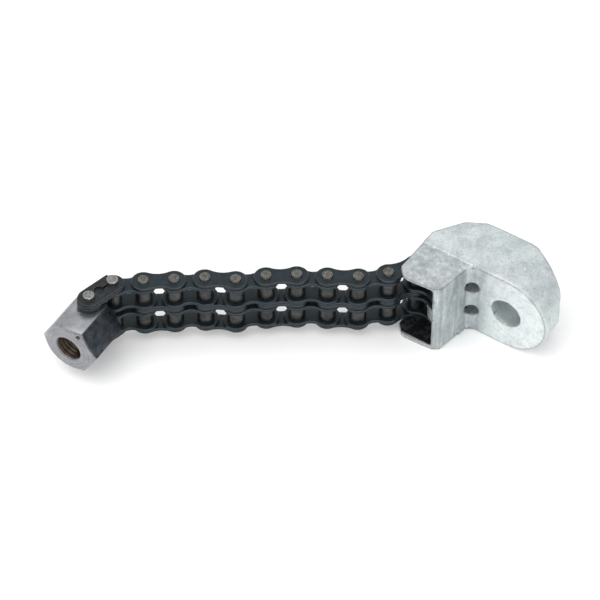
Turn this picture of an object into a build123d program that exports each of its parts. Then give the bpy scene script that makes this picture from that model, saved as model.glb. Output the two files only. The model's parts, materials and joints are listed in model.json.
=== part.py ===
"""Chain-type oil filter wrench: a cast head with a V jaw, a two-strand roller chain and a threaded nut.

Millimetres, +Z up. The origin is the centre of the spindle bore where it leaves the head's front face.
The chain's pins are vertical, the head's own plan axes are turned by HEAD_TURN about Z.
"""

import os
from math import cos, radians, sin, sqrt

from build123d import *

os.makedirs("parts", exist_ok=True)

# ---------------------------------------------------------------- driving dimensions
PITCH = 12.7  # pin to pin
STRAND_PITCH = 13.92  # strand centre to strand centre
PIN_R = 2.1
BUSH_BORE_R = 2.15
BUSH_R = 2.8
ROLLER_BORE_R = 2.85
ROLLER_R = 3.65
ROLLER_HEIGHT = 7.6
INNER_WIDTH = 7.75  # between the inner plates of one strand
INNER_PLATE = 1.55
OUTER_PLATE = 1.4
PLATE_GAP = 0.05  # between an inner plate and the outer plate beside it
INNER_END_R = 5.4  # an inner plate's round ends
OUTER_END_R = 5.0
INNER_WAIST = 7.2  # width of an inner plate between its pins
OUTER_WAIST = 7.4
PIN_HEAD = 1.0  # how far a riveted pin stands out of its plate

HEAD_HEIGHT = 38.0
HEAD_TURN = -33.7  # heading of the head's front face, degrees
JAW_APEX = -16.6  # from the bore to the middle of the V's narrow flat, along the front face
LOBE_R = 19.0
HEAD_DEPTH = 24.5
SPINDLE_BORE_R = 6.75
SPINDLE_SEAT_R = 10.5  # spot face on the back for the spindle's shoulder
BORE_LENGTH = 20.5
POCKET_FLOOR = -16.7
POCKET_ROOF = 17.0
POCKET_BACK = 1.5  # from the front face to the pocket's back wall
POCKET_RELIEF = 0.5  # how far the pocket's round end clears the lugs
ANCHOR_X = JAW_APEX - 10.1  # the anchor pin, in the head's plan axes
ANCHOR_Y = -7.5
ANCHOR_R = 2.75
LUG_R = 5.6
LUG_HEIGHT = 7.2
CORE_HOLE_R = 3.0
CORE_HOLE_DEPTH = 9.0

NUT_FLATS = 22.8
NUT_FRONT = 16.6  # from the cross pin to the threaded face
NUT_BACK = 5.3  # from the cross pin to the back face
THREAD_R = 5.2
THREAD_DEPTH = 12.0
CLIP = 1.0
CLIP_R = 4.7
CLIP_PIN_HEAD = 1.9  # how far the connecting pins stand out of the clip
CLIP_SLIT = 1.0
CLIP_LEG = 0.9  # how far the clip's legs reach past the open end's pin
GROOVE_R = 1.7

PIN_HEAD_R = 2.4
DIMPLE = 0.25
DIMPLE_R = 1.1
EDGE_BREAK = 0.2
PRESS_GAP = 0.02  # drawn gap where one piece is pressed into another
JAW_STEP = 0.45
ANCHOR_SEAT = 1.2  # depth of the anchor pin's blind seat above the pocket
MOUTH = 1.1  # countersink of the threaded hole
PUNCH_R = 0.9  # punch mark at the edge of the nut's face

# heading of each link in plan, from the anchor to the nut, as the wrench lies at rest
HEADINGS = [146.3, 204.1, 190.7, 177.5, 177.0, 182.7, 189.5, 175.5, 183.7, 183.3, 187.0, 222.5]
NUT_HEADING = 238.4

# ---------------------------------------------------------------- levels and places worked out from them
STRANDS = [-STRAND_PITCH / 2, STRAND_PITCH / 2]
INNER_FACE = INNER_WIDTH / 2
OUTER_FACE = INNER_FACE + INNER_PLATE + PLATE_GAP  # inside face of an outer plate, from the strand's centre
OUTER_LEVEL = STRAND_PITCH / 2 + OUTER_FACE
STACK_TOP = OUTER_LEVEL + OUTER_PLATE
MIDDLE_PLATE = STRAND_PITCH / 2 - OUTER_FACE - PLATE_GAP
PIN_END = STACK_TOP + PIN_HEAD

head_x = (cos(radians(HEAD_TURN)), sin(radians(HEAD_TURN)), 0)
head_plan = Plane(origin=(0, 0, 0), x_dir=head_x, z_dir=(0, 0, 1))


def head_point(x, y):
    """A point of the head's plan axes, in the part's frame."""
    return head_plan.from_local_coords(Vector(x, y, 0))


pins = [head_point(ANCHOR_X, ANCHOR_Y)]
for heading in HEADINGS:
    pins.append(pins[-1] + Vector(PITCH, 0, 0).rotate(Axis.Z, heading))


def link_plane(start, heading, level):
    """A plane at a height, with its origin at a pin and its X axis along the link."""
    x_dir = Vector(1, 0, 0).rotate(Axis.Z, heading)
    return Plane(origin=(start.X, start.Y, level), x_dir=x_dir, z_dir=(0, 0, 1))


def pin_plane(pin, level):
    """A level plane centred on a pin."""
    return Plane(origin=(pin.X, pin.Y, level), x_dir=(1, 0, 0), z_dir=(0, 0, 1))


def save(piece, name):
    """Labels a finished piece and writes it."""
    piece.label = name
    export_step(piece, f"parts/{name}.step")


def waisted_outline(end_r, waist):
    """The figure-eight outline of a chain plate, its first pin at the origin and its second along X."""
    # the waist arc is tangent to both round ends
    waist_r = ((PITCH**2 + waist**2) / 4 - end_r**2) / (2 * end_r - waist)
    reach = end_r / (end_r + waist_r)
    shoulder_x = reach * PITCH / 2
    shoulder_y = reach * (waist_r + waist / 2)
    with BuildSketch() as outline:
        with BuildLine():
            upper = ThreePointArc(
                (shoulder_x, shoulder_y), (PITCH / 2, waist / 2), (PITCH - shoulder_x, shoulder_y)
            )
            right = ThreePointArc(upper @ 1, (PITCH + end_r, 0), (PITCH - shoulder_x, -shoulder_y))
            lower = ThreePointArc(right @ 1, (PITCH / 2, -waist / 2), (shoulder_x, -shoulder_y))
            ThreePointArc(lower @ 1, (-end_r, 0), upper @ 0)
        make_face()
    return outline.sketch


def straight_outline():
    """The outline of a connecting plate, which has no waist."""
    with BuildSketch() as outline:
        with Locations((PITCH / 2, 0)):
            SlotCenterToCenter(PITCH, 2 * OUTER_END_R)
    return outline.sketch


def plates(start, heading, levels, thickness, hole_r, shape):
    """Chain plates, one on each level, each with its two pin holes and a broken outer edge."""
    with BuildPart() as stack:
        for level in levels:
            with BuildSketch(link_plane(start, heading, level)):
                add(shape)
                with Locations((0, 0), (PITCH, 0)):
                    Circle(hole_r, mode=Mode.SUBTRACT)
            extrude(amount=thickness)
        flats = stack.faces().filter_by(Axis.Z)
        chamfer([edge for flat in flats for edge in flat.outer_wire().edges()], length=EDGE_BREAK)
    return stack.part


def tubes(pin_list, outer_r, inner_r, height, strands):
    """Plain tubes round the pins given, one on each strand given."""
    with BuildPart() as ring:
        for pin in pin_list:
            for strand in strands:
                with BuildSketch(pin_plane(pin, strand - height / 2)):
                    Circle(outer_r)
                    Circle(inner_r, mode=Mode.SUBTRACT)
                extrude(amount=height)
    return ring.part


def riveted_pins(pin_list):
    """Pins through both strands, with a spread head and a shallow dimple at each end."""
    with BuildPart() as group:
        for pin in pin_list:
            with BuildSketch(pin_plane(pin, -STACK_TOP)):
                Circle(PIN_R)
            extrude(amount=2 * STACK_TOP)
            for side in (-1, 1):
                with BuildSketch(pin_plane(pin, side * STACK_TOP)):
                    Circle(PIN_HEAD_R)
                extrude(amount=side * PIN_HEAD, taper=14)
                with BuildSketch(pin_plane(pin, side * (PIN_END - DIMPLE))):
                    Circle(DIMPLE_R)
                extrude(amount=side * DIMPLE, taper=-20, mode=Mode.SUBTRACT)
    return group.part


def connecting_pins(pin_list):
    """Pins riveted in the fixed plate, with a clip groove and a plain raised end on top."""
    clip_top = STACK_TOP + CLIP
    with BuildPart() as group:
        for pin in pin_list:
            with BuildSketch(pin_plane(pin, -STACK_TOP)):
                Circle(PIN_R)
            extrude(amount=2 * STACK_TOP)
            with BuildSketch(pin_plane(pin, STACK_TOP)):
                Circle(GROOVE_R)
            extrude(amount=CLIP)
            with BuildSketch(pin_plane(pin, clip_top)):
                Circle(PIN_HEAD_R)
            extrude(amount=CLIP_PIN_HEAD)
            with BuildSketch(pin_plane(pin, -STACK_TOP)):
                Circle(PIN_HEAD_R)
            extrude(amount=-PIN_HEAD, taper=14)
        top_rims = group.edges().filter_by(GeomType.CIRCLE).group_by(Axis.Z)[-1]
        chamfer(top_rims, length=0.3)
    return group.part


# ---------------------------------------------------------------- the cast head
def plan_outline():
    """The head's outline from above, jaw on the left and spindle lobe on the right."""
    # the first two corners are the ends of the narrow flat in the V
    corners = [
        (JAW_APEX + 2.4, 0, 0.5),
        (JAW_APEX - 1.5, -2.0, 0.8),
        (JAW_APEX - 4.2, -17.6, 0.6),
        (JAW_APEX - 6.8, -19.4, 0.6),
        (JAW_APEX - 21.2, -20.4, 4.0),
        (JAW_APEX - 25.2, -15.8, 2.0),
        (JAW_APEX - 24.5, 7.6, 2.0),
        (JAW_APEX - 16.0, 19.6, 6.0),
        (JAW_APEX - 8.0, HEAD_DEPTH - 0.2, 8.0),
        (-1.0, HEAD_DEPTH + 0.2, 12.0),
        (17.2, 15.6, 4.0),
        (LOBE_R, 8.0, 4.0),
        (LOBE_R, 0, 0.6),
    ]
    points = [(x, y) for x, y, radius in corners]
    with BuildSketch() as outline:
        with BuildLine():
            FilletPolyline(*points, radius=[radius for x, y, radius in corners], close=True)
        make_face()
    return outline.sketch


def pocket_outline():
    """The chain pocket from above: open at the front and on the left."""
    with BuildSketch() as outline:
        with BuildLine():
            Polyline(
                (JAW_APEX - 3.3, -1.0),
                (JAW_APEX - 8.9, -25.0),
                (JAW_APEX - 40.0, -25.0),
                (JAW_APEX - 40.0, POCKET_BACK),
                (JAW_APEX - 8.0, POCKET_BACK),
                close=True,
            )
        make_face()
        fillet(outline.vertices().sort_by(Axis.X)[-1], radius=1.5)
        # the wall is hollowed round the end of the first inner plates
        with Locations((ANCHOR_X, ANCHOR_Y)):
            Circle(INNER_END_R + POCKET_RELIEF)
    return outline.sketch


front_plane = Plane(origin=(0, 0, 0), x_dir=head_plan.x_dir, z_dir=head_plan.y_dir)
apex = head_point(JAW_APEX, 0)
anchor = head_point(ANCHOR_X, ANCHOR_Y)


def head_level(level):
    """The head's plan axes at a height."""
    return head_plan.offset(level)


with BuildPart() as head:
    with BuildSketch(head_level(-HEAD_HEIGHT / 2)):
        add(plan_outline())
    extrude(amount=HEAD_HEIGHT)
    # seen from the front the lobe is a half round about the spindle bore
    with BuildSketch(front_plane.offset(-30)):
        Circle(LOBE_R)
        with Locations((-30, 0)):
            Rectangle(60, HEAD_HEIGHT)
    extrude(amount=60, mode=Mode.INTERSECT)
    # the jaw's top stands a little lower than the lobe's
    with BuildSketch(head_level(HEAD_HEIGHT / 2 - JAW_STEP)):
        with Locations((JAW_APEX - 20, -14)):
            Rectangle(40, 30)
    extrude(amount=1, mode=Mode.SUBTRACT)
    with BuildSketch(head_level(POCKET_FLOOR)):
        add(pocket_outline())
    extrude(amount=POCKET_ROOF - POCKET_FLOOR, mode=Mode.SUBTRACT)
    # a lug between the inner plates of each strand carries the anchor pin
    for strand in STRANDS:
        with BuildSketch(head_level(strand - LUG_HEIGHT / 2)):
            with Locations((ANCHOR_X, ANCHOR_Y)):
                Circle(LUG_R)
            with BuildLine():
                Polyline(
                    (ANCHOR_X - LUG_R + 1, ANCHOR_Y),
                    (ANCHOR_X - LUG_R + 1, POCKET_BACK + 1),
                    (ANCHOR_X + LUG_R, POCKET_BACK + 1),
                    (ANCHOR_X + LUG_R, ANCHOR_Y - 3),
                    close=True,
                )
            make_face()
        extrude(amount=LUG_HEIGHT)
    with BuildSketch(pin_plane(anchor, -HEAD_HEIGHT / 2)):
        Circle(ANCHOR_R + PRESS_GAP)
    extrude(amount=HEAD_HEIGHT / 2 + POCKET_ROOF + ANCHOR_SEAT, mode=Mode.SUBTRACT)
    with BuildSketch(front_plane.offset(-5)):
        Circle(SPINDLE_BORE_R)
    extrude(amount=HEAD_DEPTH + 10, mode=Mode.SUBTRACT)
    with BuildSketch(front_plane.offset(BORE_LENGTH)):
        Circle(SPINDLE_SEAT_R)
    extrude(amount=HEAD_DEPTH, mode=Mode.SUBTRACT)
    # two blind cored holes straight back from the V's flat, one level with each strand
    for strand in STRANDS:
        with BuildSketch(Plane(origin=(apex.X, apex.Y - 8, strand), x_dir=(1, 0, 0), z_dir=(0, 1, 0))):
            Circle(CORE_HOLE_R)
        extrude(amount=8 + CORE_HOLE_DEPTH, mode=Mode.SUBTRACT)
save(head.part, "head_casting")

with BuildPart() as anchor_pin:
    with BuildSketch(pin_plane(anchor, -HEAD_HEIGHT / 2 + 0.4)):
        Circle(ANCHOR_R)
    extrude(amount=HEAD_HEIGHT / 2 - 0.4 + POCKET_ROOF + ANCHOR_SEAT - 0.1)
    chamfer(anchor_pin.edges().filter_by(GeomType.CIRCLE), length=0.4)
save(anchor_pin.part, "anchor_pin")

# ---------------------------------------------------------------- the chain
inner_levels = [s + side for s in STRANDS for side in (-INNER_FACE - INNER_PLATE, INNER_FACE)]
middle_levels = [-PLATE_GAP - MIDDLE_PLATE, PLATE_GAP]
outside_levels = [-STACK_TOP, OUTER_LEVEL]
inner_outline = waisted_outline(INNER_END_R, INNER_WAIST)
outer_outline = waisted_outline(OUTER_END_R, OUTER_WAIST)
pin_hole_r = PIN_R + PRESS_GAP

for number, index in enumerate(range(0, 12, 2), start=1):
    start, end, heading = pins[index], pins[index + 1], HEADINGS[index]
    pair = plates(start, heading, inner_levels, INNER_PLATE, BUSH_R + PRESS_GAP, inner_outline)
    save(pair, f"inner_plates_{number}")
    bushed = [end] if index == 0 else [start, end]
    bush_height = INNER_WIDTH + 2 * INNER_PLATE
    save(tubes(bushed, BUSH_R, BUSH_BORE_R, bush_height, STRANDS), f"bushes_{number}")

for number, index in enumerate(range(1, 11, 2), start=1):
    start, end, heading = pins[index], pins[index + 1], HEADINGS[index]
    outside = plates(start, heading, outside_levels, OUTER_PLATE, pin_hole_r, outer_outline)
    middle = plates(start, heading, middle_levels, MIDDLE_PLATE, pin_hole_r, outer_outline)
    save(outside, f"outer_plates_{number}")
    save(middle, f"middle_plates_{number}")
    save(riveted_pins([start, end]), f"rivet_pins_{number}")

for index in range(1, 12):
    for level, strand in zip(("lower", "upper"), STRANDS):
        roller = tubes([pins[index]], ROLLER_R, ROLLER_BORE_R, ROLLER_HEIGHT, [strand])
        save(roller, f"roller_{index}_{level}")

# ---------------------------------------------------------------- connecting link with its spring clip
link_start, nut_pin, link_heading = pins[11], pins[12], HEADINGS[11]
for level, name in zip(outside_levels, ("connecting_plate_fixed", "connecting_plate_loose")):
    save(plates(link_start, link_heading, [level], OUTER_PLATE, pin_hole_r, straight_outline()), name)
save(connecting_pins([link_start, nut_pin]), "connecting_pins")

with BuildPart() as clip:
    with BuildSketch(link_plane(link_start, link_heading, STACK_TOP)):
        with Locations((PITCH / 2, 0)):
            SlotCenterToCenter(PITCH, 2 * CLIP_R)
        with Locations((0, 0), (PITCH, 0)):
            Circle(GROOVE_R + PRESS_GAP, mode=Mode.SUBTRACT)
        # the legs spring apart round an opening between the pins
        with Locations((PITCH * 0.55, 0)):
            Ellipse(2.3, 2.5, mode=Mode.SUBTRACT)
        with Locations((0, 0)):
            Rectangle(PITCH, CLIP_SLIT, mode=Mode.SUBTRACT)
        with Locations((-CLIP_R, 0)):
            Rectangle(2 * (CLIP_R - CLIP_LEG), 3 * CLIP_R, mode=Mode.SUBTRACT)
    extrude(amount=CLIP)
save(clip.part, "spring_clip")

# ---------------------------------------------------------------- the nut on the connecting link's end pin
nut_axis = Vector(1, 0, 0).rotate(Axis.Z, NUT_HEADING)
nut_level = -OUTER_LEVEL + PLATE_GAP + NUT_FLATS / 2
nut_length = NUT_FRONT + NUT_BACK
nut_back_centre = Vector(nut_pin.X, nut_pin.Y, nut_level) - nut_axis * NUT_BACK
nut_end = Plane(origin=nut_back_centre, x_dir=(0, 0, 1), z_dir=nut_axis)
nut_side = Plane(origin=nut_back_centre, x_dir=(0, 0, 1), z_dir=Vector(0, 0, 1).cross(nut_axis))
nut_corner_r = NUT_FLATS / sqrt(3)
face_r = NUT_FLATS / 2 - 1.1
chamfer_depth = (nut_corner_r + 0.2 - face_r) / sqrt(3)

with BuildPart() as nut:
    with BuildSketch(nut_end):
        RegularPolygon(NUT_FLATS / 2, 6, major_radius=False, rotation=30)
    extrude(amount=nut_length)
    # both ends are turned to 30 degrees, which rounds the hexagon's corners
    with BuildSketch(nut_side):
        with BuildLine():
            Polyline(
                (0, 0),
                (face_r, 0),
                (nut_corner_r + 0.2, chamfer_depth),
                (nut_corner_r + 0.2, nut_length - chamfer_depth),
                (face_r, nut_length),
                (0, nut_length),
                close=True,
            )
        make_face()
    revolve(axis=Axis(nut_back_centre, nut_axis), mode=Mode.INTERSECT)
    # threaded hole, at its minor diameter, with a countersunk mouth and a drill point
    with BuildSketch(nut_side):
        with BuildLine():
            Polyline(
                (0, nut_length - THREAD_DEPTH - 1.0),
                (THREAD_R, nut_length - THREAD_DEPTH),
                (THREAD_R, nut_length - MOUTH),
                (THREAD_R + MOUTH, nut_length),
                (0, nut_length),
                close=True,
            )
        make_face()
    revolve(axis=Axis(nut_back_centre, nut_axis), mode=Mode.SUBTRACT)
    with BuildSketch(pin_plane(nut_pin, nut_level - NUT_FLATS)):
        Circle(BUSH_BORE_R)
    extrude(amount=2 * NUT_FLATS, mode=Mode.SUBTRACT)
    with BuildSketch(nut_end.offset(nut_length)):
        with Locations((9.6, -5.1)):
            Circle(PUNCH_R)
    extrude(amount=-1.4, mode=Mode.SUBTRACT)
save(nut.part, "hex_nut")

# a washer fills the height between the nut and the loose plate
nut_top = nut_level + NUT_FLATS / 2
with BuildPart() as spacer:
    with BuildSketch(pin_plane(nut_pin, nut_top + PLATE_GAP)):
        Circle(OUTER_END_R)
        Circle(pin_hole_r, mode=Mode.SUBTRACT)
    extrude(amount=OUTER_LEVEL - nut_top - PLATE_GAP)
    chamfer(spacer.edges().filter_by(GeomType.CIRCLE).sort_by(SortBy.RADIUS)[-2:], length=EDGE_BREAK)
save(spacer.part, "nut_spacer")
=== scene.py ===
"""Looks of the chain-type oil filter wrench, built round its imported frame. Metres, same frame as the part."""

import json
import math

import bpy
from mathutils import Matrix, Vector

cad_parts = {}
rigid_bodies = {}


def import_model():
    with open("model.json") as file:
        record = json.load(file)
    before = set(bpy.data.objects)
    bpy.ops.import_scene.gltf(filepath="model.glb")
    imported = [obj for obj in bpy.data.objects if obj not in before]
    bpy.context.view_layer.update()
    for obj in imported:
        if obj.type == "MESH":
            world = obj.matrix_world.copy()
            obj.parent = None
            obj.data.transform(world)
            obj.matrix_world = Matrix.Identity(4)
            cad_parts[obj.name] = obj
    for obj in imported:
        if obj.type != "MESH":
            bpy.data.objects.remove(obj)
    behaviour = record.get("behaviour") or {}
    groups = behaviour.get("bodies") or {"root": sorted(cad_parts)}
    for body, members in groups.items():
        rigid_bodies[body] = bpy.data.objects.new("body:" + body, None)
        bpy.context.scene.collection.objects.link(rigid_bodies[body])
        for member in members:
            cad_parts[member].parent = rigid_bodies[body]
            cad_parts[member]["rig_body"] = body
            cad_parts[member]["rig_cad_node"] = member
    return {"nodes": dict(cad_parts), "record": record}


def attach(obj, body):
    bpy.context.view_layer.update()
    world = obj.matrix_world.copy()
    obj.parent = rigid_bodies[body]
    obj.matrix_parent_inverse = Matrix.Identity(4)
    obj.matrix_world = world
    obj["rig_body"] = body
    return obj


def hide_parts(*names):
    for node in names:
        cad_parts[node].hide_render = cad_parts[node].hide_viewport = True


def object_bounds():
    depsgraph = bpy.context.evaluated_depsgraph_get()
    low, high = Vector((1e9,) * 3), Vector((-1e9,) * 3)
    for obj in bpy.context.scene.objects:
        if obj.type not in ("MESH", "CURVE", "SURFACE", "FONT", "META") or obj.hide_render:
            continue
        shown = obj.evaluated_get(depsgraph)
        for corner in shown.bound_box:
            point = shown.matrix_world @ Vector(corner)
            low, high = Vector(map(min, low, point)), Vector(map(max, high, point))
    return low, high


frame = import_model()
cad_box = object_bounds()
nodes = frame["nodes"]
mounts = {mount["name"]: mount for mount in frame["record"]["mounts"]}
head_back = Vector(mounts["spindle_bore"]["axis"])  # from the head's front face to its back
head_along = Vector((head_back.y, -head_back.x, 0))  # from the jaw to the lobe

MM = 0.001
low, high = [Vector(corner) for corner in cad_box]
floor_level = low.z


def on_head(along, back, level):
    """A point given in millimetres in the head's own axes."""
    return head_along * along * MM + head_back * back * MM + Vector((0, 0, level * MM))


# ---------------------------------------------------------------- small helpers
def pick_only(piece):
    """Makes one object the selected and active one."""
    bpy.ops.object.select_all(action="DESELECT")
    piece.select_set(True)
    bpy.context.view_layer.objects.active = piece


def apply_place(piece):
    """Puts a piece's place, turn and size into its mesh."""
    pick_only(piece)
    bpy.ops.object.transform_apply(location=True, rotation=True, scale=True)


def add_modifier(piece, kind, **settings):
    """Adds a modifier with its settings and applies it."""
    pick_only(piece)
    modifier = piece.modifiers.new(kind.title(), kind)
    for key, value in settings.items():
        setattr(modifier, key, value)
    bpy.ops.object.modifier_apply(modifier=modifier.name)


def working_copy(node_name, name):
    """A cleaned copy of a frame node's mesh: merged corners and flat faces in one piece."""
    source = nodes[node_name]
    piece = source.copy()
    piece.data = source.data.copy()
    piece.name = name
    piece.data.name = name
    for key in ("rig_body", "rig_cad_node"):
        if key in piece:
            del piece[key]
    piece.parent = None
    bpy.context.scene.collection.objects.link(piece)
    pick_only(piece)
    bpy.ops.object.mode_set(mode="EDIT")
    bpy.ops.mesh.select_all(action="SELECT")
    bpy.ops.mesh.remove_doubles(threshold=0.002 * MM)
    bpy.ops.mesh.dissolve_limited(angle_limit=math.radians(0.5))
    bpy.ops.object.mode_set(mode="OBJECT")
    return piece


def dress(piece, material):
    """Gives a piece one material all over."""
    piece.data.materials.clear()
    piece.data.materials.append(material)


# ---------------------------------------------------------------- materials
class Finish:
    """A node material with short calls for the nodes that its recipe needs."""

    def __init__(self, name, metallic, roughness):
        self.material = bpy.data.materials.new(name)
        self.material.use_nodes = True
        self.tree = self.material.node_tree
        self.shader = self.tree.nodes["Principled BSDF"]
        self.shader.inputs["Metallic"].default_value = metallic
        self.shader.inputs["Roughness"].default_value = roughness
        self.place = self.node("ShaderNodeTexCoord").outputs["Object"]

    def node(self, kind, **settings):
        made = self.tree.nodes.new(kind)
        for key, value in settings.items():
            setattr(made, key, value)
        return made

    def join(self, source, target):
        self.tree.links.new(source, target)

    def stretched(self, scale, turn=(0, 0, 0)):
        """The object's own coordinates, turned and scaled."""
        mapping = self.node("ShaderNodeMapping")
        mapping.inputs["Rotation"].default_value = turn
        mapping.inputs["Scale"].default_value = scale
        self.join(self.place, mapping.inputs["Vector"])
        return mapping.outputs["Vector"]

    def noise(self, size, detail=4.0, rough=0.55, vector=None):
        """Noise whose blobs are about size across."""
        made = self.node("ShaderNodeTexNoise")
        made.inputs["Scale"].default_value = 1 / size
        made.inputs["Detail"].default_value = detail
        made.inputs["Roughness"].default_value = rough
        self.join(vector or self.place, made.inputs["Vector"])
        return made.outputs["Fac"]

    def pits(self, size, vector=None):
        """Distance from scattered points about size apart."""
        made = self.node("ShaderNodeTexVoronoi")
        made.inputs["Scale"].default_value = 1 / size
        self.join(vector or self.place, made.inputs["Vector"])
        return made.outputs["Distance"]

    def ramp(self, value, *stops):
        """A colour ramp through (place, colour) stops."""
        made = self.node("ShaderNodeValToRGB")
        elements = made.color_ramp.elements
        while len(elements) < len(stops):
            elements.new(0.5)
        for element, (place, colour) in zip(elements, stops):
            element.position = place
            element.color = (*colour, 1)
        self.join(value, made.inputs["Fac"])
        return made.outputs["Color"]

    def spread(self, value, low_in, high_in, low_out, high_out):
        """Carries a value from one range to another."""
        made = self.node("ShaderNodeMapRange")
        for socket, number in zip(
            ("From Min", "From Max", "To Min", "To Max"), (low_in, high_in, low_out, high_out)
        ):
            made.inputs[socket].default_value = number
        self.join(value, made.inputs["Value"])
        return made.outputs["Result"]

    def mix(self, factor, first, second, blend="MIX"):
        """Mixes two colours, each a socket or a plain colour."""
        made = self.node("ShaderNodeMix", data_type="RGBA", blend_type=blend)
        self.feed(factor, made.inputs[0])
        self.feed(first, made.inputs[6])
        self.feed(second, made.inputs[7])
        return made.outputs[2]

    def feed(self, value, socket):
        if isinstance(value, bpy.types.NodeSocket):
            self.join(value, socket)
        elif isinstance(value, tuple):
            socket.default_value = (*value, 1)
        else:
            socket.default_value = value

    def edge_wear_and_highlight(self, radius, strength):
        """About 0 on flat faces and up to 1 along edges; used for worn edges and for painted rim highlights."""
        rounded = self.node("ShaderNodeBevel")
        rounded.inputs["Radius"].default_value = radius
        flat = self.node("ShaderNodeNewGeometry")
        compare = self.node("ShaderNodeVectorMath", operation="DOT_PRODUCT")
        self.join(rounded.outputs["Normal"], compare.inputs[0])
        self.join(flat.outputs["Normal"], compare.inputs[1])
        return self.spread(compare.outputs["Value"], 1.0, 1.0 - strength, 0.0, 1.0)

    def ridges(self):
        """Over 0.5 on outward edges of a fine mesh and under it in inward corners."""
        return self.node("ShaderNodeNewGeometry").outputs["Pointiness"]

    def times(self, first, second):
        """The product of two masks."""
        made = self.node("ShaderNodeMath", operation="MULTIPLY")
        self.feed(first, made.inputs[0])
        self.feed(second, made.inputs[1])
        return made.outputs[0]

    def either(self, first, second):
        """The larger of two masks."""
        made = self.node("ShaderNodeMath", operation="MAXIMUM")
        self.feed(first, made.inputs[0])
        self.feed(second, made.inputs[1])
        return made.outputs[0]

    def past(self, point, direction, soft=0.15 * MM):
        """1 on the far side of a plane through a point, 0 on the near side, soft between."""
        made = self.node("ShaderNodeVectorMath", operation="DOT_PRODUCT")
        self.join(self.place, made.inputs[0])
        made.inputs[1].default_value = direction
        level = point.dot(direction)
        return self.spread(made.outputs["Value"], level - soft, level + soft, 0.0, 1.0)

    def off_axis(self, point, direction):
        """Distance from a line."""
        moved = self.node("ShaderNodeVectorMath", operation="SUBTRACT")
        self.join(self.place, moved.inputs[0])
        moved.inputs[1].default_value = point
        cross = self.node("ShaderNodeVectorMath", operation="CROSS_PRODUCT")
        self.join(moved.outputs["Vector"], cross.inputs[0])
        cross.inputs[1].default_value = direction
        size = self.node("ShaderNodeVectorMath", operation="LENGTH")
        self.join(cross.outputs["Vector"], size.inputs[0])
        return size.outputs["Value"]

    def color(self, value):
        self.feed(value, self.shader.inputs["Base Color"])

    def roughness(self, value):
        self.feed(value, self.shader.inputs["Roughness"])

    def bump(self, *layers):
        """Stacks bump layers, each (height, distance)."""
        normal = None
        for height, distance in layers:
            made = self.node("ShaderNodeBump")
            made.inputs["Distance"].default_value = distance
            self.join(height, made.inputs["Height"])
            if normal:
                self.join(normal, made.inputs["Normal"])
            normal = made.outputs["Normal"]
        self.join(normal, self.shader.inputs["Normal"])


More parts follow.
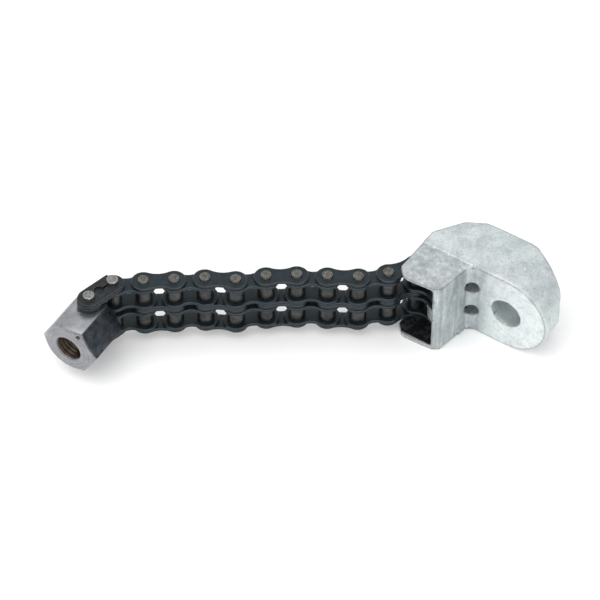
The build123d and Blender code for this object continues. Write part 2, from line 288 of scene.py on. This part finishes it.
def cast_aluminium_finish():
    """Pale sand-cast aluminium: mottled and faintly tinted, with grey stains and scratches, a painted highlight
    on the front face towards the lobe, and painted shade at the bottom of the V, along the outer edges and
    inside the pocket.
    """
    finish = Finish("cast aluminium", 0.8, 0.5)
    cloud = finish.noise(7 * MM, 5, 0.62)
    speckle = finish.noise(0.8 * MM, 6, 0.72)
    blotch = finish.noise(2.6 * MM, 6, 0.68)
    tint = finish.noise(12 * MM, 2, 0.5)
    streak = finish.noise(2.2 * MM, 4, 0.6, finish.stretched((1, 1, 0.16)))
    base = finish.ramp(cloud, (0.3, (0.44, 0.485, 0.50)), (0.7, (0.70, 0.74, 0.75)))
    tinted = finish.mix(finish.spread(tint, 0.45, 0.68, 0.0, 0.5), base, (0.50, 0.61, 0.57))
    streaked = finish.mix(finish.spread(streak, 0.56, 0.74, 0.0, 0.45), tinted, (0.80, 0.85, 0.86))
    stained = finish.mix(finish.spread(blotch, 0.52, 0.72, 0.0, 0.55), streaked, (0.36, 0.39, 0.41))
    marked = finish.mix(finish.spread(speckle, 0.54, 0.7, 0.0, 0.65), stained, (0.22, 0.24, 0.26))
    scratch = finish.noise(0.45 * MM, 3, 0.6, finish.stretched((1, 0.06, 1), (0, 0, 0.9)))
    scored = finish.mix(finish.spread(scratch, 0.62, 0.7, 0.0, 0.5), marked, (0.86, 0.89, 0.9))
    # painted light: the front face towards the lobe is painted brighter as a highlight, and the bottom of the V
    # on the front is painted darker as shade
    front = finish.past(on_head(0, 1.5, 0), -head_back, 1 * MM)
    front_lobe_region = finish.times(front, finish.past(on_head(-9.5, 0, 0), head_along, 3 * MM))
    front_v_bottom = finish.times(front, finish.past(on_head(-12.5, 0, 0), -head_along, 2.5 * MM))
    painted_front_highlight = finish.times(front_lobe_region, finish.spread(blotch, 0.3, 0.6, 0.65, 0.3))
    bright = finish.mix(painted_front_highlight, scored, (0.93, 0.96, 0.96))
    painted_v_shade = finish.times(front_v_bottom, finish.spread(streak, 0.3, 0.65, 0.7, 0.1))
    valley = finish.mix(painted_v_shade, bright, (0.26, 0.28, 0.29))
    # painted shade: outward edges are painted dark, as shaded edge lines
    edge = finish.spread(finish.ridges(), 0.508, 0.55, 0.0, 0.8)
    painted_edge_shade = finish.mix(edge, valley, (0.17, 0.17, 0.17))
    # painted shade: the pocket's inside is painted near-black as the shade of a deep cavity, but for the bare
    # lower lug
    wall = (head_along * 24 - head_back * 5.6).normalized()
    inside = finish.past(on_head(-19.9, -1, 0), -wall)
    for point, direction in (
        (on_head(0, 0, -16.9), Vector((0, 0, 1))),
        (on_head(0, 0, 17.2), Vector((0, 0, -1))),
        (on_head(0, 1.8, 0), -head_back),
        (on_head(0, -19.3, 0), head_back),
    ):
        inside = finish.times(inside, finish.past(point, direction))
    above = finish.past(on_head(0, 0, -3.1), Vector((0, 0, 1)))
    below = finish.past(on_head(0, 0, -11), Vector((0, 0, -1)))
    from_anchor = finish.off_axis(on_head(-26.7, -7.5, 0), Vector((0, 0, 1)))
    beside = finish.spread(from_anchor, 6.0 * MM, 6.3 * MM, 0, 1)
    off_lug = finish.either(beside, finish.either(above, below))
    sheltered = finish.times(inside, off_lug)
    painted_pocket_shade = finish.times(sheltered, finish.spread(cloud, 0.2, 0.5, 0.93, 1.0))
    finish.color(finish.mix(painted_pocket_shade, painted_edge_shade, (0.014, 0.015, 0.018)))
    finish.roughness(finish.spread(blotch, 0.3, 0.7, 0.36, 0.6))
    pits = finish.pits(1.3 * MM)
    finish.bump((speckle, 0.16 * MM), (blotch, 0.22 * MM), (pits, 0.07 * MM), (scratch, 0.03 * MM))
    return finish.material


def black_oxide_finish(name, base, light):
    """Oiled black oxide on stamped steel, a little blue, with lighter edges: partly worn through by rubbing,
    partly a painted rim highlight.
    """
    finish = Finish(name, 0.55, 0.4)
    cloud = finish.noise(3.5 * MM, 4, 0.6)
    grain = finish.noise(0.35 * MM, 5, 0.65)
    tone = finish.mix(finish.spread(cloud, 0.35, 0.7, 0.0, 1.0), base, light)
    edge = finish.edge_wear_and_highlight(0.22 * MM, 0.25)
    # the lighter edges are partly worn steel and partly a painted rim highlight
    wear_and_rim_highlight = finish.times(edge, finish.spread(grain, 0.35, 0.65, 0.25, 0.8))
    finish.color(finish.mix(wear_and_rim_highlight, tone, (0.34, 0.37, 0.39)))
    finish.roughness(finish.spread(cloud, 0.3, 0.7, 0.34, 0.5))
    finish.bump((grain, 0.02 * MM), (cloud, 0.05 * MM))
    return finish.material


def roller_finish():
    """Hardened roller steel: dark, polished round by the grinding wheel."""
    finish = Finish("roller steel", 0.9, 0.3)
    rings = finish.noise(0.6 * MM, 4, 0.6, finish.stretched((0.15, 0.15, 3)))
    cloud = finish.noise(2.5 * MM, 3, 0.5)
    finish.color(finish.ramp(cloud, (0.3, (0.035, 0.036, 0.038)), (0.75, (0.095, 0.093, 0.09))))
    finish.roughness(finish.spread(rings, 0.35, 0.65, 0.24, 0.42))
    finish.bump((rings, 0.01 * MM))
    return finish.material


def pin_finish(name, dark, light, rough):
    """Riveted pin ends: blotchy peened faces on a brighter rim."""
    finish = Finish(name, 0.95, rough)
    blotch = finish.noise(0.9 * MM, 5, 0.65)
    grain = finish.noise(0.25 * MM, 3, 0.6)
    edge = finish.edge_wear_and_highlight(0.3 * MM, 0.3)
    face = finish.mix(finish.spread(blotch, 0.35, 0.65, 0.0, 1.0), dark, light)
    finish.color(finish.mix(edge, face, tuple(part * 2.6 for part in light)))
    finish.roughness(finish.spread(blotch, 0.3, 0.7, rough - 0.08, rough + 0.12))
    finish.bump((blotch, 0.06 * MM), (grain, 0.015 * MM))
    return finish.material


def nut_finish(axis, hole, length, across):
    """Satin bar steel with draw lines, turned end faces, one flat painted dark as shade and a thread dark with
    oil.
    """
    finish = Finish("nut steel", 0.95, 0.28)
    heading = math.atan2(axis.y, axis.x)
    drawn = finish.noise(0.5 * MM, 4, 0.6, finish.stretched((0.05, 1, 1), (0, 0, -heading)))
    cloud = finish.noise(4 * MM, 4, 0.6)
    marks = finish.noise(0.7 * MM, 6, 0.7)
    base = finish.ramp(cloud, (0.3, (0.27, 0.28, 0.30)), (0.7, (0.39, 0.40, 0.42)))
    marked = finish.mix(finish.spread(marks, 0.58, 0.76, 0.0, 0.5), base, (0.17, 0.175, 0.185))
    # painted shade: the flat that faces up and away from the nut's left is painted darker
    side = Vector((-axis.y, axis.x, 0)) * math.sin(math.pi / 3) + Vector((0, 0, 0.5))
    reach = finish.node("ShaderNodeVectorMath", operation="DOT_PRODUCT")
    finish.join(finish.place, reach.inputs[0])
    reach.inputs[1].default_value = side
    surface = hole.dot(side) + across / 2
    shaded_flat_mask = finish.spread(reach.outputs["Value"], surface - 0.4 * MM, surface - 0.05 * MM, 0.0, 1.0)
    shaded_flat_tone = finish.mix(
        finish.spread(cloud, 0.35, 0.7, 0.0, 1.0), (0.030, 0.036, 0.043), (0.075, 0.085, 0.098)
    )
    with_shaded_flat = finish.mix(shaded_flat_mask, marked, shaded_flat_tone)
    edge = finish.edge_wear_and_highlight(0.25 * MM, 0.3)
    worn = finish.mix(edge, with_shaded_flat, (0.62, 0.63, 0.65))
    radius = finish.off_axis(hole, axis)
    ring = finish.node("ShaderNodeCombineXYZ")
    finish.join(radius, ring.inputs[0])
    rings = finish.noise(0.45 * MM, 3, 0.6, ring.outputs[0])
    face = finish.past(hole + axis * (length / 2 - 0.25 * MM), axis, 0.1 * MM)
    turned = finish.mix(
        finish.times(face, finish.spread(rings, 0.4, 0.6, 0.0, 0.8)), worn, (0.19, 0.185, 0.195)
    )
    thread = finish.times(
        finish.spread(radius, 6.3 * MM, 6.1 * MM, 0.0, 1.0),
        finish.past(hole + axis * (length / 2 + 0.55 * MM), -axis, 0.3 * MM),
    )
    # the oil stops at the drill point, short of the back face
    thread = finish.times(thread, finish.past(hole - axis * (length / 2 + 1.5 * MM), axis, 0.3 * MM))
    finish.color(finish.mix(thread, turned, (0.045, 0.034, 0.026)))
    finish.roughness(finish.spread(drawn, 0.3, 0.7, 0.22, 0.4))
    finish.bump((drawn, 0.012 * MM), (marks, 0.03 * MM))
    return finish.material


def floor_finish():
    """Pale matte studio paper."""
    finish = Finish("studio paper", 0.0, 0.9)
    tone = finish.noise(60 * MM, 2, 0.5)
    finish.color(finish.ramp(tone, (0.3, (0.965, 0.965, 0.965)), (0.7, (0.985, 0.985, 0.985))))
    return finish.material


# ---------------------------------------------------------------- the nut with its cut thread
THREAD_PITCH = 1.75 * MM
THREAD_ROOT = 6.05 * MM  # radius at the bottom of the thread's grooves
STEPS = 40  # faces round one turn of the thread


def thread_cutter(mouth, axis, minor_r, length):
    """A coiled V bar that cuts the thread's groove, made along +Z and turned on to the nut's axis."""
    turns = math.ceil(length / THREAD_PITCH) + 1
    bpy.ops.mesh.primitive_circle_add(
        vertices=3, radius=0.62 * THREAD_PITCH, fill_type="NGON",
        location=(minor_r, 0, 0), rotation=(math.pi / 2, 0, math.pi / 2),
    )
    cutter = bpy.context.object
    cutter.name = "thread_cutter"
    bpy.ops.object.transform_apply(location=False, rotation=True, scale=True)
    points = [(THREAD_ROOT - minor_r, 0), (-0.3 * MM, 0.62 * THREAD_PITCH), (-0.3 * MM, -0.62 * THREAD_PITCH)]
    for vertex, (out, up) in zip(cutter.data.vertices, points):
        vertex.co = (out, 0, up)
    apply_place(cutter)
    add_modifier(
        cutter, "SCREW", axis="Z", angle=math.tau, screw_offset=THREAD_PITCH, iterations=turns,
        steps=STEPS, render_steps=STEPS, use_merge_vertices=False, use_normal_calculate=True,
    )
    pick_only(cutter)
    bpy.ops.object.mode_set(mode="EDIT")
    bpy.ops.mesh.select_all(action="SELECT")
    bpy.ops.mesh.remove_doubles(threshold=0.005 * MM)
    bpy.ops.mesh.select_all(action="DESELECT")
    bpy.ops.mesh.select_non_manifold()
    bpy.ops.mesh.edge_face_add()
    bpy.ops.mesh.select_all(action="SELECT")
    bpy.ops.mesh.normals_make_consistent(inside=False)
    bpy.ops.object.mode_set(mode="OBJECT")
    cutter.rotation_euler = axis.to_track_quat("Z", "Y").to_euler()
    cutter.location = mouth - axis * (length + 0.3 * THREAD_PITCH)
    apply_place(cutter)
    return cutter


def threaded_nut(material):
    """The nut with real thread grooves in its hole and its corners just broken."""
    mount = mounts["nut_thread"]
    axis = Vector(mount["axis"])
    minor_r = mount["dims"]["r_mm"] * MM
    length = mount["dims"]["length_mm"] * MM
    mouth = Vector(mount["pos_m"]) + axis * length / 2
    nut = working_copy("hex_nut", "threaded_nut")
    cutter = thread_cutter(mouth, axis, minor_r, length)
    add_modifier(nut, "BOOLEAN", object=cutter, operation="DIFFERENCE", solver="EXACT")
    bpy.data.objects.remove(cutter)
    add_modifier(nut, "BEVEL", width=0.12 * MM, segments=2, limit_method="ANGLE", angle_limit=0.7)
    pick_only(nut)
    bpy.ops.object.shade_smooth_by_angle(angle=math.radians(35))
    dress(nut, material)
    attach(nut, "nut")
    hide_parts("hex_nut")


# ---------------------------------------------------------------- the head as a real casting
VOXEL = 0.42 * MM
# crumbs of casting flash at the foot of the V and on the lower lug: place in the head's axes, size, turn
FLASH = [
    (-18.9, -7.2, -17.2, 1.1, 0.3),
    (-18.6, -6.1, -17.6, 1.4, 1.1),
    (-18.4, -5.0, -16.9, 1.0, 0.7),
    (-18.2, -3.9, -17.5, 1.3, 2.0),
    (-18.0, -2.9, -17.1, 1.1, 1.6),
    (-17.4, -1.8, -17.7, 1.2, 0.5),
    (-16.4, -1.3, -17.3, 1.0, 2.6),
    (-32.0, -8.2, -4.8, 1.2, 0.4),
    (-32.2, -6.4, -5.0, 1.2, 1.3),
    (-31.8, -9.6, -5.4, 1.2, 2.2),
    (-32.2, -7.6, -8.9, 1.2, 0.9),
]


def cast_head(material):
    """The casting with softened edges, a dent, ragged flash and a sand-cast surface."""
    head = working_copy("head_casting", "cast_head")
    add_modifier(head, "BEVEL", width=0.35 * MM, segments=2, limit_method="ANGLE", angle_limit=0.5)
    bpy.ops.mesh.primitive_uv_sphere_add(
        segments=48, ring_count=24, radius=4.5 * MM, location=on_head(-15.7, -10.7, 7.0)
    )
    dent = bpy.context.object
    apply_place(dent)
    add_modifier(head, "BOOLEAN", object=dent, operation="DIFFERENCE", solver="EXACT")
    bpy.data.objects.remove(dent)
    crumbs = []
    for along, back, level, size, turn in FLASH:
        bpy.ops.mesh.primitive_cube_add(
            size=size * MM, location=on_head(along, back, level), rotation=(turn, turn * 2, turn * 3)
        )
        apply_place(bpy.context.object)
        crumbs.append(bpy.context.object)
    pick_only(head)
    for crumb in crumbs:
        crumb.select_set(True)
    bpy.ops.object.join()
    add_modifier(head, "REMESH", mode="VOXEL", voxel_size=VOXEL)
    add_modifier(head, "SMOOTH", factor=0.5, iterations=2)
    grit = bpy.data.textures.new("sand grit", "CLOUDS")
    grit.noise_scale = 1.4 * MM
    add_modifier(
        head, "DISPLACE", texture=grit, texture_coords="LOCAL", strength=0.10 * MM, mid_level=0.62
    )
    waves = bpy.data.textures.new("mould waves", "CLOUDS")
    waves.noise_scale = 7 * MM
    add_modifier(
        head, "DISPLACE", texture=waves, texture_coords="LOCAL", strength=0.25 * MM, mid_level=0.62
    )
    pick_only(head)
    bpy.ops.object.shade_smooth()
    dress(head, material)
    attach(head, "head")
    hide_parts("head_casting")


# ---------------------------------------------------------------- finishes on the frame's own pieces
def finish_frame_nodes():
    plate = black_oxide_finish("black oxide plate", (0.010, 0.017, 0.022), (0.022, 0.033, 0.040))
    clip = black_oxide_finish("blackened spring steel", (0.014, 0.016, 0.018), (0.030, 0.032, 0.034))
    roller = roller_finish()
    rivet = pin_finish("riveted pin", (0.07, 0.068, 0.062), (0.19, 0.185, 0.17), 0.34)
    bright = pin_finish("bright pin", (0.15, 0.15, 0.15), (0.34, 0.34, 0.34), 0.3)
    by_slot = {
        "blackened_plate": plate,
        "clip_steel": clip,
        "roller_steel": roller,
        "pin_steel": rivet,
        "bright_pin_steel": bright,
    }
    for subpart in frame["record"]["subparts"]:
        material = by_slot.get(subpart["material_slot"])
        if material:
            dress(nodes[subpart["node"]], material)


# ---------------------------------------------------------------- studio
def studio():
    bpy.ops.mesh.primitive_plane_add(size=4, location=(0, 0, floor_level - 0.05 * MM))
    floor = bpy.context.object
    floor.name = "studio_floor"
    bpy.ops.object.mode_set(mode="EDIT")
    bpy.ops.mesh.subdivide(number_cuts=3)
    bpy.ops.object.mode_set(mode="OBJECT")
    apply_place(floor)
    dress(floor, floor_finish())

    world = bpy.data.worlds.new("soft room")
    world.use_nodes = True
    background = world.node_tree.nodes["Background"]
    background.inputs["Color"].default_value = (1, 1, 1, 1)
    background.inputs["Strength"].default_value = 0.8
    bpy.context.scene.world = world

    centre = (low + high) / 2
    softboxes = [
        ("key_box", (-0.35, -0.15, 0.80), 1.0, 5.0),
        ("back_box", (0.15, 0.75, 0.60), 0.7, 0.5),
        ("fill_box", (0.30, -0.70, 0.45), 0.7, 2.0),
    ]
    for name, offset, size, power in softboxes:
        light = bpy.data.lights.new(name, "AREA")
        light.size = size
        light.energy = power
        box = bpy.data.objects.new(name, light)
        box.location = centre + Vector(offset)
        box.rotation_euler = (-Vector(offset)).to_track_quat("-Z", "Y").to_euler()
        bpy.context.scene.collection.objects.link(box)


# ---------------------------------------------------------------- camera
ELEVATION = math.radians(48.5)
CAMERA_DISTANCE = 1.5
VIEW_WIDTH = 0.249  # width of the view where the wrench lies


def camera():
    target = Vector((high.x - 0.1076, 0.0077, 0))
    eye = bpy.data.cameras.new("camera")
    eye.sensor_width = 36
    eye.lens = 36 * CAMERA_DISTANCE / VIEW_WIDTH
    eye.clip_end = 10
    holder = bpy.data.objects.new("camera", eye)
    back = Vector((0, -math.cos(ELEVATION), math.sin(ELEVATION)))
    holder.location = target + back * CAMERA_DISTANCE
    holder.rotation_euler = (math.pi / 2 - ELEVATION, 0, 0)
    bpy.context.scene.collection.objects.link(holder)
    bpy.context.scene.camera = holder


bpy.context.scene.view_settings.view_transform = "Standard"
studio()
camera()
finish_frame_nodes()
cast_head(cast_aluminium_finish())
nut_hole = mounts["nut_thread"]
nut_corners = [vertex.co.z for vertex in nodes["hex_nut"].data.vertices]
threaded_nut(
    nut_finish(
        Vector(nut_hole["axis"]),
        Vector(nut_hole["pos_m"]),
        nut_hole["dims"]["length_mm"] * MM,
        max(nut_corners) - min(nut_corners),
    )
)
